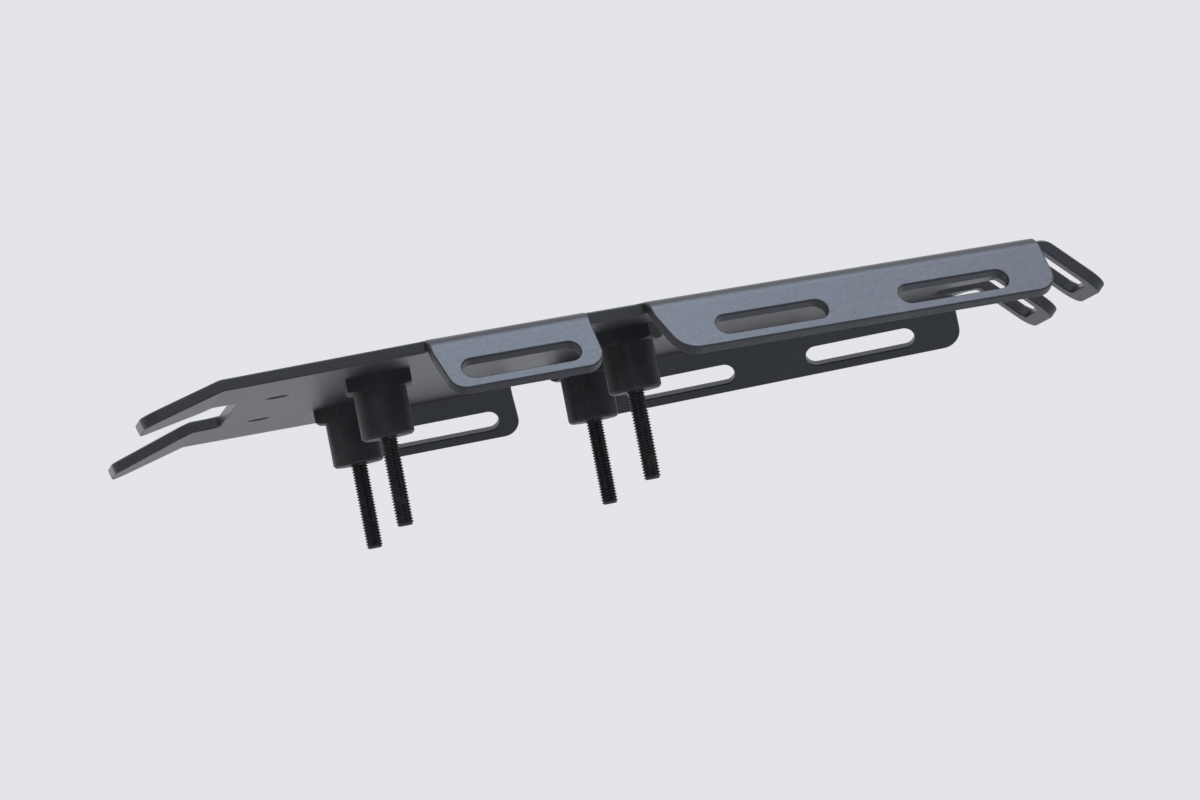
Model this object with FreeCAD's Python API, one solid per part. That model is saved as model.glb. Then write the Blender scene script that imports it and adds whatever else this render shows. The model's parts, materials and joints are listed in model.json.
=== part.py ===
"""Motorcycle rear rack plate: a folded sheet on four stand-off posts, held by four long countersunk bolts.

Millimetres. +X points to the tail, +Y to the right-hand side and +Z up, square to the deck. The origin is the
middle of the four bolts, about half way along the ends that stand out of the posts.
"""
import FreeCAD, Part
import math
import os

# Sheet and folds
SHEET = 4.0
BEND_INNER_RADIUS = 3.0
EDGE_ROUND = 0.6

# Posts and bolts
FEET_ABOVE_ORIGIN = 15.0
POST_SPACING_X = 85.0
POST_SPACING_Y = 112.0
POST_HEIGHT = 21.0
POST_DIAMETER = 18.0
POST_BORE = 6.6
POST_FOOT_CHAMFER = 0.8
COLLAR_HEIGHT = 5.0
COLLAR_ACROSS_FLATS = 22.0
COLLAR_CHAMFER_DEG = 30.0
BOLT_DIAMETER = 6.0
BOLT_SHANK_DIAMETER = 5.3
BOLT_THREAD_BELOW_FEET = 0.4
BOLT_LENGTH = 55.0
BOLT_HEAD_DIAMETER = 12.0
BOLT_HEAD_LAND = 0.3
BOLT_HEAD_SUNK = 0.1
BOLT_END_CHAMFER = 0.8
SOCKET_ACROSS_FLATS = 4.0
SOCKET_DEPTH = 2.2
HEAD_CLEARANCE = 0.1

# Each post is tightened wherever its collar ends up, so the collars are not all turned alike
COLLAR_TURNS = {"post_front_left": 27.0, "post_front_right": 8.0, "post_rear_left": 3.0, "post_rear_right": 41.0}

# Deck: its front and rear are the tangent lines of the bends there, and its bare sides stand back from the
# tangent lines of the flanges by the bend relief
DECK_FRONT = -98.0
DECK_REAR = 187.0
NOSE_HALF_WIDTH = 110.0
NOSE_STRAIGHT = 5.0
NOSE_SIDE_ROUND = 30.0
BEND_RELIEF = 2.0
REAR_CORNER_SETBACK = 2.5
REAR_CORNER_ROUND = 2.5

# Nose prongs
NOSE_ANGLE = 15.0
NOSE_LENGTH = 28.0
NOTCH_HALF_WIDTH = 48.0
NOTCH_FLARE = 30.0
NOTCH_SHOULDER = 3.0
NOTCH_SHOULDER_ROUND = 6.0
NOTCH_DEPTH_IN_DECK = 9.0
NOTCH_CORNER_ROUND = 6.0
PRONG_CORNER_ROUND = 7.0
NOSE_HOLE_DIAMETER = 8.0
NOSE_HOLE_FROM_BEND = 22.5
NOSE_HOLE_HALF_SPACING = 43.0

# Side flanges: where each root starts, the angle at which it closes in towards the tail, how far each end leans
# to the tail at the free edge, and the strap slots, measured along the root
FLANGE_ANGLE = 59.0
FLANGE_LENGTH = 18.0
FLANGE_SHOULDER = 2.0
FLANGE_SHOULDER_ROUND = 10.0
FRONT_FLANGE_X = -31.5
FRONT_FLANGE_BEYOND_NOSE = 6.5
FRONT_FLANGE_TAPER = 6.7
FRONT_FLANGE_ROOT = 54.5
FRONT_FLANGE_START_LEAN = 3.5
FRONT_FLANGE_END_LEAN = 1.0
FRONT_FLANGE_CORNER = 6.0
REAR_FLANGE_X = 43.0
REAR_FLANGE_INSIDE_FRONT = 9.0
REAR_FLANGE_TAPER = 13.2
REAR_FLANGE_ROOT = 142.5
REAR_FLANGE_START_LEAN = 5.0
REAR_FLANGE_END_LEAN = 0.0
REAR_FLANGE_FRONT_CORNER = 9.0
REAR_FLANGE_REAR_CORNER = 7.0
SLOT_LENGTH = 40.0
SLOT_WIDTH = 7.6
SLOT_CENTRE_FROM_BEND = 10.6
FRONT_SLOT_ALONG = 28.0
REAR_SLOT_FIRST_ALONG = 39.5
REAR_SLOT_PITCH = 66.5
REAR_SLOT_COUNT = 2

# Tail strap loops
TAIL_ANGLE = 45.0
TAIL_LENGTH = 23.0
LOOP_INNER_Y = 21.0
LOOP_WIDTH = 40.0
LOOP_LEG = 7.0
LOOP_BAR = 5.0
LOOP_CORNER_ROUND = 7.0
WINDOW_DEPTH_IN_DECK = 18.0
WINDOW_CORNER_ROUND = 4.0

V = FreeCAD.Vector
UP = V(0, 0, 1)
DECK_TOP = FEET_ABOVE_ORIGIN + POST_HEIGHT + SHEET
BEND_OUTER_RADIUS = BEND_INNER_RADIUS + SHEET
FRONT_FLANGE_Y = NOSE_HALF_WIDTH + FRONT_FLANGE_BEYOND_NOSE
REAR_FLANGE_Y = FRONT_FLANGE_Y - REAR_FLANGE_INSIDE_FRONT
MIRROR_PLANE = V(0, 1, 0)
HEXAGON_SIDES = 6
TINY = 1e-6


def rounded_wire(corners):
    """Closed wire in the XY plane through corners (x, y, radius), each turned by a tangent arc."""
    points = [V(x, y, 0) for x, y, radius in corners]
    edges = []
    starts = []
    ends = []
    for index, (x, y, radius) in enumerate(corners):
        here = points[index]
        back = (points[index - 1] - here).normalize()
        ahead = (points[(index + 1) % len(points)] - here).normalize()
        half_turn = back.getAngle(ahead) / 2
        setback = radius / math.tan(half_turn)
        start = here + back * setback
        end = here + ahead * setback
        if setback > TINY:
            middle = here + (back + ahead).normalize() * (radius / math.sin(half_turn) - radius)
            edges.append(Part.Arc(start, middle, end).toShape())
        starts.append(start)
        ends.append(end)
    for index, end in enumerate(ends):
        start = starts[(index + 1) % len(starts)]
        if end.distanceToPoint(start) > TINY:
            edges.append(Part.LineSegment(end, start).toShape())
    return Part.Wire(Part.__sortEdges__(edges))


def plate_from(corners, thickness=SHEET):
    """Flat piece of sheet whose top lies at z = 0, cut to the rounded outline."""
    return Part.Face(rounded_wire(corners)).extrude(V(0, 0, -thickness))


def rectangle(x_low, y_low, x_high, y_high, radius=0.0):
    return [(x_low, y_low, radius), (x_high, y_low, radius), (x_high, y_high, radius), (x_low, y_high, radius)]


def bend(start, end, angle_deg):
    """Bent strip along X from start to end. Its tangent line is y = 0 with the deck's top at z = 0."""
    angle = math.radians(angle_deg)
    centre = V(0, 0, -BEND_OUTER_RADIUS)

    def on_arc(radius, turn):
        return centre + V(0, radius * math.sin(turn), radius * math.cos(turn))

    outer = Part.Arc(on_arc(BEND_OUTER_RADIUS, 0), on_arc(BEND_OUTER_RADIUS, angle / 2),
                     on_arc(BEND_OUTER_RADIUS, angle))
    inner = Part.Arc(on_arc(BEND_INNER_RADIUS, angle), on_arc(BEND_INNER_RADIUS, angle / 2),
                     on_arc(BEND_INNER_RADIUS, 0))
    far_side = Part.LineSegment(on_arc(BEND_OUTER_RADIUS, angle), on_arc(BEND_INNER_RADIUS, angle))
    near_side = Part.LineSegment(on_arc(BEND_INNER_RADIUS, 0), on_arc(BEND_OUTER_RADIUS, 0))
    section = Part.Wire([curve.toShape() for curve in (outer, far_side, inner, near_side)])
    strip = Part.Face(section).extrude(V(end - start, 0, 0))
    strip.translate(V(start, 0, 0))
    return strip


def folded(panel, angle_deg):
    """Panel drawn flat, with y = 0 on the end of its bend, turned down and moved to that end."""
    angle = math.radians(angle_deg)
    turned = panel.copy()
    turned.rotate(V(0, 0, 0), V(1, 0, 0), -angle_deg)
    turned.translate(V(0, BEND_OUTER_RADIUS * math.sin(angle), BEND_OUTER_RADIUS * (math.cos(angle) - 1)))
    return turned


def placed(shape, turn_deg, position):
    """Turn a folded piece about Z so that its +Y points away from the deck, and set it on its bend line."""
    moved = shape.copy()
    moved.rotate(V(0, 0, 0), UP, turn_deg)
    moved.translate(position)
    return moved


def both_sides(shape):
    return [shape, shape.mirror(V(0, 0, 0), MIRROR_PLANE)]


def flange_root(x, y, taper_deg, length):
    """Corners of the deck's outline along one flange, with the bare edge set back at both ends of its bend."""
    along = V(math.cos(math.radians(taper_deg)), -math.sin(math.radians(taper_deg)), 0)
    inward = along.cross(UP)
    start = V(x, y, 0)
    end = start + along * length
    corners = []
    for point, radius in ((start + inward * BEND_RELIEF, BEND_RELIEF), (start, 0), (end, 0),
                          (end + inward * BEND_RELIEF, BEND_RELIEF)):
        corners.append((point.x, point.y, radius))
    return corners


def deck():
    notch_end = DECK_FRONT + NOTCH_DEPTH_IN_DECK
    loop_outer_y = LOOP_INNER_Y + LOOP_WIDTH
    half = [
        (notch_end, NOTCH_HALF_WIDTH, NOTCH_CORNER_ROUND),
        (DECK_FRONT, NOTCH_HALF_WIDTH, 0),
        (DECK_FRONT, NOSE_HALF_WIDTH, 0),
        (DECK_FRONT + NOSE_STRAIGHT, NOSE_HALF_WIDTH, NOSE_SIDE_ROUND),
    ]
    half += flange_root(FRONT_FLANGE_X, FRONT_FLANGE_Y, FRONT_FLANGE_TAPER, FRONT_FLANGE_ROOT)
    half += flange_root(REAR_FLANGE_X, REAR_FLANGE_Y, REAR_FLANGE_TAPER, REAR_FLANGE_ROOT)
    half += [
        (DECK_REAR - REAR_CORNER_SETBACK, loop_outer_y, REAR_CORNER_ROUND),
        (DECK_REAR, loop_outer_y, 0),
        (DECK_REAR, LOOP_INNER_Y, 0),
        (DECK_REAR - BEND_RELIEF, LOOP_INNER_Y, BEND_RELIEF),
    ]
    other_half = [(x, -y, radius) for x, y, radius in reversed(half)]
    sheet = plate_from(half + other_half)
    window = plate_from([
        (DECK_REAR, LOOP_INNER_Y + LOOP_LEG, 0),
        (DECK_REAR, loop_outer_y - LOOP_LEG, 0),
        (DECK_REAR - WINDOW_DEPTH_IN_DECK, loop_outer_y - LOOP_LEG, WINDOW_CORNER_ROUND),
        (DECK_REAR - WINDOW_DEPTH_IN_DECK, LOOP_INNER_Y + LOOP_LEG, WINDOW_CORNER_ROUND),
    ])
    nose_hole = Part.makeCylinder(NOSE_HOLE_DIAMETER / 2, SHEET,
                                  V(DECK_FRONT + NOSE_HOLE_FROM_BEND, NOSE_HOLE_HALF_SPACING, -SHEET))
    return sheet.cut(both_sides(window) + both_sides(nose_hole))


def nose_prong():
    width = NOSE_HALF_WIDTH - NOTCH_HALF_WIDTH
    panel = plate_from([
        (0, 0, 0),
        (width, 0, 0),
        (width, NOSE_LENGTH, PRONG_CORNER_ROUND),
        (NOTCH_FLARE, NOSE_LENGTH, PRONG_CORNER_ROUND),
        (0, NOTCH_SHOULDER, NOTCH_SHOULDER_ROUND),
    ])
    pieces = [bend(0, width, NOSE_ANGLE), folded(panel, NOSE_ANGLE)]
    return [placed(piece, 90, V(DECK_FRONT, NOTCH_HALF_WIDTH, 0)) for piece in pieces]


def side_flange(root, start_lean, end_lean, front_corner, rear_corner, slot_places):
    """Bend and panel of one flange, its root running along X from 0 to root."""
    panel = plate_from([
        (0, 0, 0),
        (root, 0, 0),
        (root, FLANGE_SHOULDER, FLANGE_SHOULDER_ROUND),
        (root + end_lean, FLANGE_LENGTH, rear_corner),
        (start_lean, FLANGE_LENGTH, front_corner),
        (0, FLANGE_SHOULDER, FLANGE_SHOULDER_ROUND),
    ])
    slots = []
    for place in slot_places:
        slots.append(plate_from(rectangle(
            place - SLOT_LENGTH / 2, SLOT_CENTRE_FROM_BEND - SLOT_WIDTH / 2,
            place + SLOT_LENGTH / 2, SLOT_CENTRE_FROM_BEND + SLOT_WIDTH / 2, SLOT_WIDTH / 2)))
    return [bend(0, root, FLANGE_ANGLE), folded(panel.cut(slots), FLANGE_ANGLE)]


def tail_loop():
    inside = LOOP_WIDTH - LOOP_LEG
    window_end = TAIL_LENGTH - LOOP_BAR
    panel = plate_from([
        (0, 0, 0),
        (LOOP_LEG, 0, 0),
        (LOOP_LEG, window_end, WINDOW_CORNER_ROUND),
        (inside, window_end, WINDOW_CORNER_ROUND),
        (inside, 0, 0),
        (LOOP_WIDTH, 0, 0),
        (LOOP_WIDTH, TAIL_LENGTH, LOOP_CORNER_ROUND),
        (0, TAIL_LENGTH, LOOP_CORNER_ROUND),
    ])
    pieces = [bend(0, LOOP_LEG, TAIL_ANGLE), bend(inside, LOOP_WIDTH, TAIL_ANGLE), folded(panel, TAIL_ANGLE)]
    return [placed(piece, -90, V(DECK_REAR, LOOP_INNER_Y + LOOP_WIDTH, 0)) for piece in pieces]


def rim_edges(sheet):
    """Edges where a skin of the sheet meets a cut edge: not the corners that run through the thickness."""
    rims = []
    for edge in sheet.Edges:
        faces = sheet.ancestorsOfType(edge, Part.Face)
        if len(faces) != 2:
            continue
        middle = edge.valueAt((edge.FirstParameter + edge.LastParameter) / 2)
        normals = [face.normalAt(*face.Surface.parameter(middle)) for face in faces]
        square = abs(normals[0].dot(normals[1])) < 0.2
        through_thickness = abs(edge.Length - SHEET) < 0.01
        if square and not through_thickness:
            rims.append(edge)
    return rims


def rack_plate():
    one_side = nose_prong() + tail_loop()
    front_flange = side_flange(FRONT_FLANGE_ROOT, FRONT_FLANGE_START_LEAN, FRONT_FLANGE_END_LEAN,
                               FRONT_FLANGE_CORNER, FRONT_FLANGE_CORNER, [FRONT_SLOT_ALONG])
    one_side += [placed(piece, -FRONT_FLANGE_TAPER, V(FRONT_FLANGE_X, FRONT_FLANGE_Y, 0)) for piece in front_flange]
    rear_slots = [REAR_SLOT_FIRST_ALONG + number * REAR_SLOT_PITCH for number in range(REAR_SLOT_COUNT)]
    rear_flange = side_flange(REAR_FLANGE_ROOT, REAR_FLANGE_START_LEAN, REAR_FLANGE_END_LEAN,
                              REAR_FLANGE_FRONT_CORNER, REAR_FLANGE_REAR_CORNER, rear_slots)
    one_side += [placed(piece, -REAR_FLANGE_TAPER, V(REAR_FLANGE_X, REAR_FLANGE_Y, 0)) for piece in rear_flange]
    folds = [side for piece in one_side for side in both_sides(piece)]
    sheet = deck().multiFuse(folds).removeSplitter()
    sheet = sheet.makeFillet(EDGE_ROUND, rim_edges(sheet))
    sheet.translate(V(0, 0, DECK_TOP))
    holes = [bolt_hole(place) for place in post_places().values()]
    return sheet.cut(holes).removeSplitter()


def post_places():
    """Middle of each post's foot."""
    x = POST_SPACING_X / 2
    y = POST_SPACING_Y / 2
    return {
        "post_front_left": V(-x, -y, FEET_ABOVE_ORIGIN),
        "post_front_right": V(-x, y, FEET_ABOVE_ORIGIN),
        "post_rear_left": V(x, -y, FEET_ABOVE_ORIGIN),
        "post_rear_right": V(x, y, FEET_ABOVE_ORIGIN),
    }


def head_cone(extra):
    """Countersunk form under the deck's top: a short land, then a 90 degree cone down to the shank."""
    radius = BOLT_HEAD_DIAMETER / 2 + extra
    neck = BOLT_SHANK_DIAMETER / 2 + extra
    land = Part.makeCylinder(radius, BOLT_HEAD_LAND, V(0, 0, -BOLT_HEAD_LAND))
    cone = Part.makeCone(neck, radius, radius - neck, V(0, 0, -BOLT_HEAD_LAND - (radius - neck)))
    return land.fuse(cone)


def bolt_hole(place):
    sunk = head_cone(HEAD_CLEARANCE)
    sunk.translate(V(0, 0, -BOLT_HEAD_SUNK))
    mouth = Part.makeCylinder(BOLT_HEAD_DIAMETER / 2 + HEAD_CLEARANCE, BOLT_HEAD_SUNK, V(0, 0, -BOLT_HEAD_SUNK))
    through = Part.makeCylinder(POST_BORE / 2, SHEET, V(0, 0, -SHEET))
    hole = sunk.fuse([mouth, through])
    hole.translate(V(place.x, place.y, DECK_TOP))
    return hole


def hexagon(across_flats, height):
    corner_radius = across_flats / math.sqrt(3)
    corners = []
    for number in range(HEXAGON_SIDES):
        turn = math.tau * number / HEXAGON_SIDES
        corners.append(V(corner_radius * math.cos(turn), corner_radius * math.sin(turn), 0))
    return Part.Face(Part.makePolygon(corners + corners[:1])).extrude(V(0, 0, height))


def post():
    """Spacer turned from hexagon bar: a round body, and a collar of the bar left under the deck."""
    body_height = POST_HEIGHT - COLLAR_HEIGHT
    body = Part.makeCylinder(POST_DIAMETER / 2, body_height)
    foot = body.Edges[[edge.BoundBox.ZMax < 0.01 for edge in body.Edges].index(True)]
    body = body.makeChamfer(POST_FOOT_CHAMFER, [foot])
    collar = hexagon(COLLAR_ACROSS_FLATS, COLLAR_HEIGHT)
    flat_radius = COLLAR_ACROSS_FLATS / 2
    spread = COLLAR_HEIGHT / math.tan(math.radians(COLLAR_CHAMFER_DEG))
    collar = collar.common(Part.makeCone(flat_radius, flat_radius + spread, COLLAR_HEIGHT))
    collar.translate(V(0, 0, body_height))
    bore = Part.makeCylinder(POST_BORE / 2, POST_HEIGHT)
    return body.fuse(collar).cut(bore).removeSplitter()


def bolt():
    """Countersunk screw with a hexagon socket, its head's top at z = 0. The shank through the post is of the
    smaller size that a rolled thread starts from, and the thread begins just below the post's foot."""
    shank_length = SHEET - BOLT_HEAD_SUNK + POST_HEIGHT + BOLT_THREAD_BELOW_FEET
    shank = Part.makeCylinder(BOLT_SHANK_DIAMETER / 2, shank_length, V(0, 0, -shank_length))
    thread = Part.makeCylinder(BOLT_DIAMETER / 2, BOLT_LENGTH - shank_length, V(0, 0, -BOLT_LENGTH))
    tip = thread.Edges[[edge.BoundBox.ZMax < -BOLT_LENGTH + 0.01 for edge in thread.Edges].index(True)]
    thread = thread.makeChamfer(BOLT_END_CHAMFER, [tip])
    socket = hexagon(SOCKET_ACROSS_FLATS, SOCKET_DEPTH)
    socket.translate(V(0, 0, -SOCKET_DEPTH))
    return shank.fuse([thread, head_cone(0)]).removeSplitter().cut(socket)


def save(shape, node):
    shape.exportStep("parts/" + node + ".step")
    print(node, len(shape.Solids), "solid", round(shape.Volume, 1), "mm3", "valid" if shape.isValid() else "NOT VALID")


os.makedirs("parts", exist_ok=True)
save(rack_plate(), "rack_plate")

for node, place in post_places().items():
    spacer = post()
    spacer.rotate(V(0, 0, 0), UP, COLLAR_TURNS[node])
    spacer.translate(place)
    save(spacer, node)

bolts = []
for place in post_places().values():
    screw = bolt()
    screw.translate(V(place.x, place.y, DECK_TOP - BOLT_HEAD_SUNK))
    bolts.append(screw)
save(Part.makeCompound(bolts), "mounting_bolts")
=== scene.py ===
"""Rear rack plate, dressed for the camera: coated plate, turned posts and threaded bolts."""
import bmesh
import bpy
import json
import math
from mathutils import Matrix, Vector

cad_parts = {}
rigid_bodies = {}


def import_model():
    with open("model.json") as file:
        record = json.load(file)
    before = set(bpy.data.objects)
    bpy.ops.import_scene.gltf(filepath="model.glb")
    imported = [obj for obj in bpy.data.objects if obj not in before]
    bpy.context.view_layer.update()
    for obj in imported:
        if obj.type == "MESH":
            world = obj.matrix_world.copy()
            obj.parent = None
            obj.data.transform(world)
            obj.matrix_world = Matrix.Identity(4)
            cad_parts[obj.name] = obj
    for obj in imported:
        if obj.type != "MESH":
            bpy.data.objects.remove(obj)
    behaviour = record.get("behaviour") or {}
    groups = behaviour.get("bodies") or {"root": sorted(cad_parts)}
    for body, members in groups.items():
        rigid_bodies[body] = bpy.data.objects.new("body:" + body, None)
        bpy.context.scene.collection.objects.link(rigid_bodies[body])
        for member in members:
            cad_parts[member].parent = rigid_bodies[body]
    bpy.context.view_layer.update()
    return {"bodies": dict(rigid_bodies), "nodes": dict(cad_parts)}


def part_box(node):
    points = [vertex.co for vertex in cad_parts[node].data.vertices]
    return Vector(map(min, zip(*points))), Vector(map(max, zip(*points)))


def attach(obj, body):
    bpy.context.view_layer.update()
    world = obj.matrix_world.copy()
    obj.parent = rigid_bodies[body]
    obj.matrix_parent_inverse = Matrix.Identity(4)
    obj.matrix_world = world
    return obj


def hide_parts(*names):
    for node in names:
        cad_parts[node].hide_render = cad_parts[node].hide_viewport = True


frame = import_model()
body = next(iter(frame["bodies"]))

# Rack plate: one sheet of 4 mm aluminium, cut with its slots, holes and windows and then folded, so nothing
# on it is joined. Its satin black powder coat bakes to a faint orange peel with a fine grain, and gets paler
# where straps and loads rub it.
MM = 0.001
COAT_BLACK = (0.010, 0.010, 0.011, 1)
COAT_DUSTY = (0.018, 0.018, 0.019, 1)
COAT_RUBBED = (0.05, 0.05, 0.052, 1)
# Painted reflection: a cool blue tint on the coat's specular reflection that stands in for blue sky light.
COAT_PAINTED_SKY_TINT = (0.78, 0.84, 1.0, 1)
PEEL_HEIGHT = 0.10 * MM


class Wire:
    """One output of a material's nodes. Arithmetic on wires and numbers adds Math nodes."""

    def __init__(self, tree, socket):
        self.tree = tree
        self.socket = socket

    def add(self, kind, settings, values, output=0):
        """A node of that kind: its settings first, then its sockets' values or links. Gives one output."""
        made = self.tree.nodes.new(kind)
        for name, value in settings.items():
            if name == "stops":
                for stop, (position, shade) in zip(made.color_ramp.elements, value):
                    stop.position = position
                    stop.color = (shade, shade, shade, 1)
            else:
                setattr(made, name, value)
        for name, value in values.items():
            if isinstance(value, Wire):
                self.tree.links.new(value.socket, made.inputs[name])
            else:
                made.inputs[name].default_value = value
        return Wire(self.tree, made.outputs[output])

    def calculate(self, operation, left, right):
        return self.add("ShaderNodeMath", {"operation": operation}, {0: left, 1: right})

    def __add__(self, other):
        return self.calculate("ADD", self, other)

    def __radd__(self, other):
        return self.calculate("ADD", other, self)

    def __sub__(self, other):
        return self.calculate("SUBTRACT", self, other)

    def __rsub__(self, other):
        return self.calculate("SUBTRACT", other, self)

    def __mul__(self, other):
        return self.calculate("MULTIPLY", self, other)

    def __rmul__(self, other):
        return self.calculate("MULTIPLY", other, self)

    def noise(self, per_metre, detail, roughness):
        values = {"Vector": self, "Scale": per_metre, "Detail": detail, "Roughness": roughness}
        return self.add("ShaderNodeTexNoise", {}, values, "Fac")

    def ramp(self, low, high):
        return self.add("ShaderNodeValToRGB", {"stops": ((low, 0), (high, 1))}, {"Fac": self}, "Color")

    def mixed(self, first, second):
        """Colour between first and second, by this wire."""
        return self.add("ShaderNodeMix", {"data_type": "RGBA"}, {"Factor": self, 6: first, 7: second}, 2)

    def bump(self, height, strength):
        values = {"Height": self, "Distance": height, "Strength": strength}
        return self.add("ShaderNodeBump", {}, values, "Normal")

    def into(self, shader, name):
        self.tree.links.new(self.socket, shader.inputs[name])


def new_finish(name):
    """Material of that name, its shader, and the place on the part in metres."""
    material = bpy.data.materials.new(name)
    material.use_nodes = True
    tree = material.node_tree
    shader = tree.nodes["Principled BSDF"]
    place = Wire(tree, tree.nodes.new("ShaderNodeTexCoord").outputs["Object"])
    return material, shader, place


def dress(piece, material):
    piece.data.materials.clear()
    piece.data.materials.append(material)


powder_coat, coat_shader, place = new_finish("satin_black_powder_coat")
peel = place.noise(420, 2.0, 0.5)
grain = place.noise(2600, 2.0, 0.6)
drift = place.noise(14, 4.0, 0.6)
rubs = place.noise(55, 6.0, 0.65).ramp(0.60, 0.78) * place.noise(9, 2.0, 0.5).ramp(0.48, 0.66)
colour = drift.ramp(0.35, 0.75).mixed(COAT_BLACK, COAT_DUSTY)
(rubs * 0.5).mixed(colour, COAT_RUBBED).into(coat_shader, "Base Color")
(0.31 + 0.10 * drift + 0.06 * grain - 0.05 * rubs).into(coat_shader, "Roughness")
(place.noise(900, 3.0, 0.6).ramp(0.25, 0.75) * 0.28 + 0.14).into(coat_shader, "Coat Weight")
(peel * 0.75 + grain * 0.25).bump(PEEL_HEIGHT, 0.8).into(coat_shader, "Normal")
coat_shader.inputs["Specular IOR Level"].default_value = 0.6
# The blue specular tint is a painted sky reflection, not a colour of the coat itself.
coat_shader.inputs["Specular Tint"].default_value = COAT_PAINTED_SKY_TINT
coat_shader.inputs["Coat Roughness"].default_value = 0.3

plate = frame["nodes"]["rack_plate"]
dress(plate, powder_coat)

# Posts: four spacers turned from hexagon aluminium bar and drilled through, with a collar of the bar left on
# at the top to bear on the sheet. They are anodised black over the fine rings that the lathe leaves.
POST_NAMES = ["post_front_left", "post_front_right", "post_rear_left", "post_rear_right"]
POST_BLACK = (0.020, 0.021, 0.024, 1)
POST_WORN = (0.036, 0.037, 0.041, 1)
RING_PITCH = 0.35 * MM
RING_HEIGHT = 0.012 * MM

anodised, post_shader, place = new_finish("black_anodised_post")
along = place.add("ShaderNodeSeparateXYZ", {}, {"Vector": place}, "Z")
rings = place.add("ShaderNodeMath", {"operation": "SINE"}, {0: along * (math.tau / RING_PITCH)})
cloud = place.noise(120, 4.0, 0.6)
cloud.ramp(0.4, 0.7).mixed(POST_BLACK, POST_WORN).into(post_shader, "Base Color")
(0.36 + 0.12 * cloud).into(post_shader, "Roughness")
(rings * 0.5 + place.noise(1800, 2.0, 0.5)).bump(RING_HEIGHT, 0.5).into(post_shader, "Normal")
post_shader.inputs["Metallic"].default_value = 0.35

for name in POST_NAMES:
    post = frame["nodes"][name]
    dress(post, anodised)

# Mounting bolts: four M6 countersunk steel screws with hexagon sockets, chemically blacked. Each goes down
# through the plate and its post, and its rolled thread stands out below, where the rack is screwed on.
BOLT_BLACK = (0.055, 0.055, 0.060, 1)
BOLT_BARE = (0.16, 0.155, 0.15, 1)
BOLT_GRAIN = 0.01 * MM
SIDES = 48
THREAD_PITCH = 1.0 * MM
ROWS_PER_PITCH = 8
THREAD_CREST = 3.0 * MM
THREAD_ROOT = 2.42 * MM
HALF_ROOT_FLAT = 0.125
FLANK = 0.3125
THREAD_BELOW_FOOT = 0.4 * MM
TIP_CHAMFER = 0.8 * MM
SHANK = 2.65 * MM
HEAD_RADIUS = 6.0 * MM
HEAD_LAND = 0.3 * MM
HEAD_BEVEL = 0.25 * MM
SOCKET_FLAT = 2.0 * MM
SOCKET_DEPTH = 2.2 * MM
SOCKET_POINT = 0.5 * MM
SOCKET_MOUTH = 2.55 * MM
MOUTH_DEPTH = 0.35 * MM
END_FACE = 0.3 * MM
SHARP_EDGE = math.radians(35)


def thread_radius(height, turn):
    """Radius of the thread there. The widths of its flat root and its flanks are shares of the pitch."""
    step = (height / THREAD_PITCH - turn / math.tau) % 1.0
    slope = min(max((abs(step - 0.5) - HALF_ROOT_FLAT) / FLANK, 0.0), 1.0)
    return THREAD_ROOT + (THREAD_CREST - THREAD_ROOT) * slope


def thread_rule(height, tip):
    """Radius rule of the thread at that height, cut back by the chamfer near the tip."""
    limit = THREAD_CREST - max(0.0, TIP_CHAMFER - (height - tip))
    return lambda turn: min(thread_radius(height, turn), limit)


def socket_radius(turn):
    return SOCKET_FLAT / math.cos((turn + math.pi / 6) % (math.pi / 3) - math.pi / 6)


def bolt_rings(top, foot, tip):
    """Rings of the screw from its socket, over its head and down to its tip: (height, radius rule)."""
    neck = top - HEAD_LAND - (HEAD_RADIUS - SHANK)
    start = foot - THREAD_BELOW_FOOT
    rings = [
        (top - SOCKET_DEPTH - SOCKET_POINT, lambda turn: END_FACE),
        (top - SOCKET_DEPTH, socket_radius),
        (top - MOUTH_DEPTH, socket_radius),
        (top, lambda turn: SOCKET_MOUTH),
        (top, lambda turn: HEAD_RADIUS - HEAD_BEVEL),
        (top - HEAD_BEVEL / 2, lambda turn: HEAD_RADIUS),
        (top - HEAD_LAND, lambda turn: HEAD_RADIUS),
        (neck, lambda turn: SHANK),
        (start, lambda turn: SHANK),
    ]
    rows = math.floor((start - tip) / THREAD_PITCH * ROWS_PER_PITCH)
    for row in range(1, rows):
        height = start - row * THREAD_PITCH / ROWS_PER_PITCH
        rings.append((height, thread_rule(height, tip)))
    rings.append((tip, lambda turn: THREAD_CREST - TIP_CHAMFER))
    rings.append((tip, lambda turn: END_FACE))
    return rings


def add_screw(mesh, centre, top, foot, tip):
    """One screw in the mesh, skinned from ring to ring and closed at both ends."""
    first = None
    previous = None
    for height, radius_at in bolt_rings(top, foot, tip):
        ring = []
        for side in range(SIDES):
            turn = math.tau * side / SIDES
            x = centre.x + radius_at(turn) * math.cos(turn)
            y = centre.y + radius_at(turn) * math.sin(turn)
            ring.append(mesh.verts.new((x, y, height)))
        if previous:
            for side in range(SIDES):
                after = (side + 1) % SIDES
                mesh.faces.new((previous[side], ring[side], ring[after], previous[after]))
        else:
            first = ring
        previous = ring
    mesh.faces.new(first)
    mesh.faces.new(list(reversed(previous)))


bolt_low, bolt_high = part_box("mounting_bolts")
screws = bmesh.new()
for name in POST_NAMES:
    low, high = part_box(name)
    add_screw(screws, (low + high) / 2, bolt_high.z, low.z, bolt_low.z)
bmesh.ops.recalc_face_normals(screws, faces=screws.faces)
bolt_mesh = bpy.data.meshes.new("threaded_bolts")
screws.to_mesh(bolt_mesh)
screws.free()
for face in bolt_mesh.polygons:
    face.use_smooth = True
bolt_mesh.set_sharp_from_angle(angle=SHARP_EDGE)
bolts = bpy.data.objects.new("threaded_bolts", bolt_mesh)
bpy.context.collection.objects.link(bolts)

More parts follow.
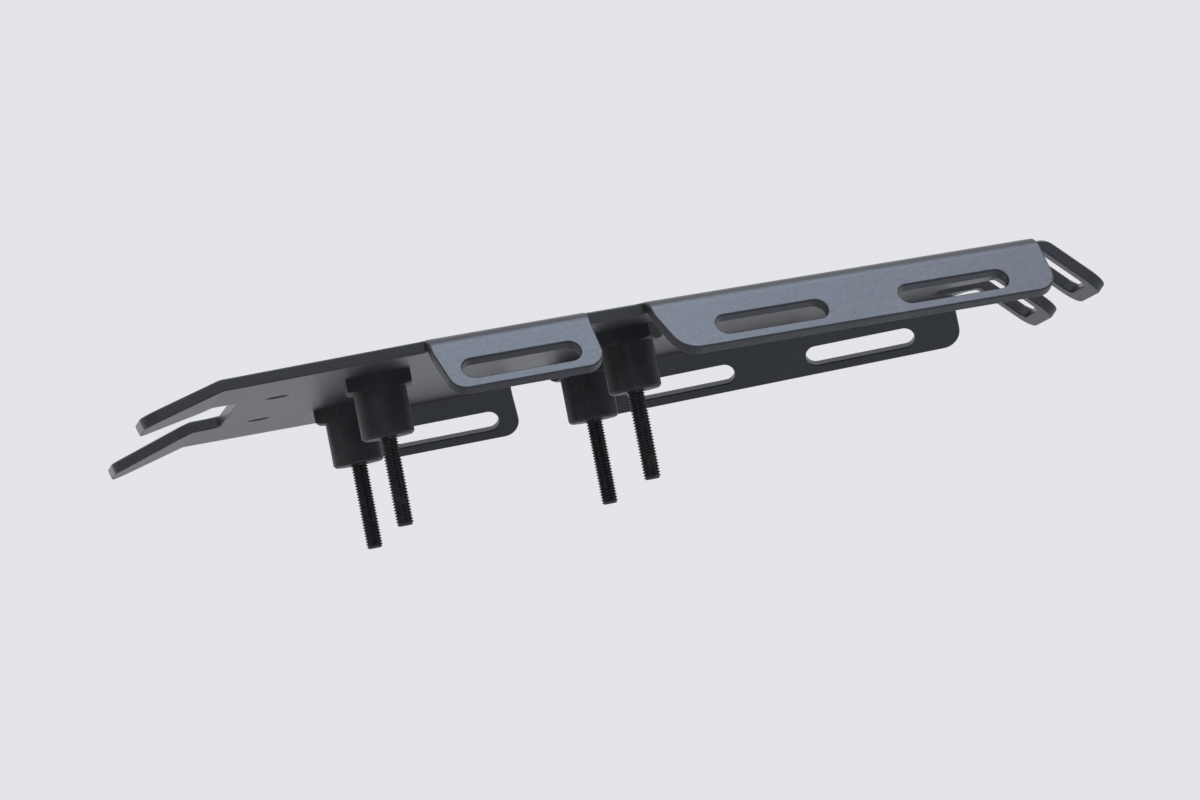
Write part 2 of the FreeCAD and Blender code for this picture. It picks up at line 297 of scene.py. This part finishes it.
blacked, bolt_shader, place = new_finish("blacked_steel_bolt")
patches = place.noise(300, 5.0, 0.6)
(patches.ramp(0.55, 0.75) * 0.4).mixed(BOLT_BLACK, BOLT_BARE).into(bolt_shader, "Base Color")
(0.34 + 0.16 * patches).into(bolt_shader, "Roughness")
place.noise(3000, 2.0, 0.5).bump(BOLT_GRAIN, 0.4).into(bolt_shader, "Normal")
bolt_shader.inputs["Metallic"].default_value = 0.8
dress(bolts, blacked)
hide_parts("mounting_bolts")
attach(bolts, body)

# Floor: a wide pale sheet well below the part, which hangs in the air. It is there for the light that it
# throws back up and for the soft shadow.
FLOOR_BELOW = 0.32
FLOOR_REACH = 5.0
FLOOR_PALE = (0.74, 0.74, 0.745, 1)

floor_mesh = bpy.data.meshes.new("floor")
corners = [(x * FLOOR_REACH, y * FLOOR_REACH, 0) for x, y in ((-1, -1), (1, -1), (1, 1), (-1, 1))]
floor_mesh.from_pydata(corners, [], [(0, 1, 2, 3)])
floor = bpy.data.objects.new("floor", floor_mesh)
bpy.context.collection.objects.link(floor)
floor.location.z = -FLOOR_BELOW
floor_finish, floor_shader, place = new_finish("pale_floor")
floor_shader.inputs["Base Color"].default_value = FLOOR_PALE
floor_shader.inputs["Roughness"].default_value = 0.85
floor_shader.inputs["Specular IOR Level"].default_value = 0.2
dress(floor, floor_finish)

# Light: a pale surround, and one soft box of cool daylight overhead, on the near side and towards the tail,
# where the flanges face it.
BACKDROP = (0.775, 0.78, 0.81, 1)
FILL = (0.52, 0.52, 0.53, 1)
DAYLIGHT = (0.80, 0.885, 1.0)
SOFT_BOX_SIZE = (1.05, 0.80)
SOFT_BOX_PLACE = Vector((0.55, -0.50, 1.40))
SOFT_BOX_WATTS = 15.0

world = bpy.data.worlds.new("pale_surround")
bpy.context.scene.world = world
world.use_nodes = True
surround = world.node_tree
path = surround.nodes.new("ShaderNodeLightPath")
camera_ray, glossy_ray, transmission_ray = [
    Wire(surround, path.outputs[name]) for name in ("Is Camera Ray", "Is Glossy Ray", "Is Transmission Ray")]
seen = camera_ray + glossy_ray + transmission_ray
seen = seen.calculate("MINIMUM", seen, 1.0)
seen.mixed(FILL, BACKDROP).into(surround.nodes["Background"], "Color")

soft_box = bpy.data.lights.new("soft_box", "AREA")
soft_box.shape = "RECTANGLE"
soft_box.size, soft_box.size_y = SOFT_BOX_SIZE
soft_box.energy = SOFT_BOX_WATTS
soft_box.color = DAYLIGHT
box_object = bpy.data.objects.new("soft_box", soft_box)
bpy.context.collection.objects.link(box_object)
box_object.location = SOFT_BOX_PLACE
box_object.rotation_euler = (-SOFT_BOX_PLACE).to_track_quat("-Z", "Y").to_euler()

# Camera: the photograph's own place, low on the left-hand side and a little ahead, so that it looks up under
# the deck, and leaning so that the deck climbs to the right. A longer lens fills the frame with the part.
CAMERA_PLACE = Vector((-0.2694, -2.160, -0.1236))
CAMERA_AIM = Vector((0.038, 0.0, 0.018))
CAMERA_LEAN = math.radians(11.17)
CAMERA_LENS = 190.0
CAMERA_SENSOR = 36.0

camera = bpy.data.cameras.new("camera")
camera.lens = CAMERA_LENS
camera.sensor_width = CAMERA_SENSOR
camera_object = bpy.data.objects.new("camera", camera)
bpy.context.collection.objects.link(camera_object)
forward = (CAMERA_AIM - CAMERA_PLACE).normalized()
leaning = Vector((math.sin(CAMERA_LEAN), 0, math.cos(CAMERA_LEAN)))
right = forward.cross(leaning).normalized()
upright = right.cross(forward)
turned = Matrix((right, upright, -forward)).transposed().to_4x4()
camera_object.matrix_world = Matrix.Translation(CAMERA_PLACE) @ turned
bpy.context.scene.camera = camera_object
bpy.context.scene.view_settings.view_transform = "Standard"
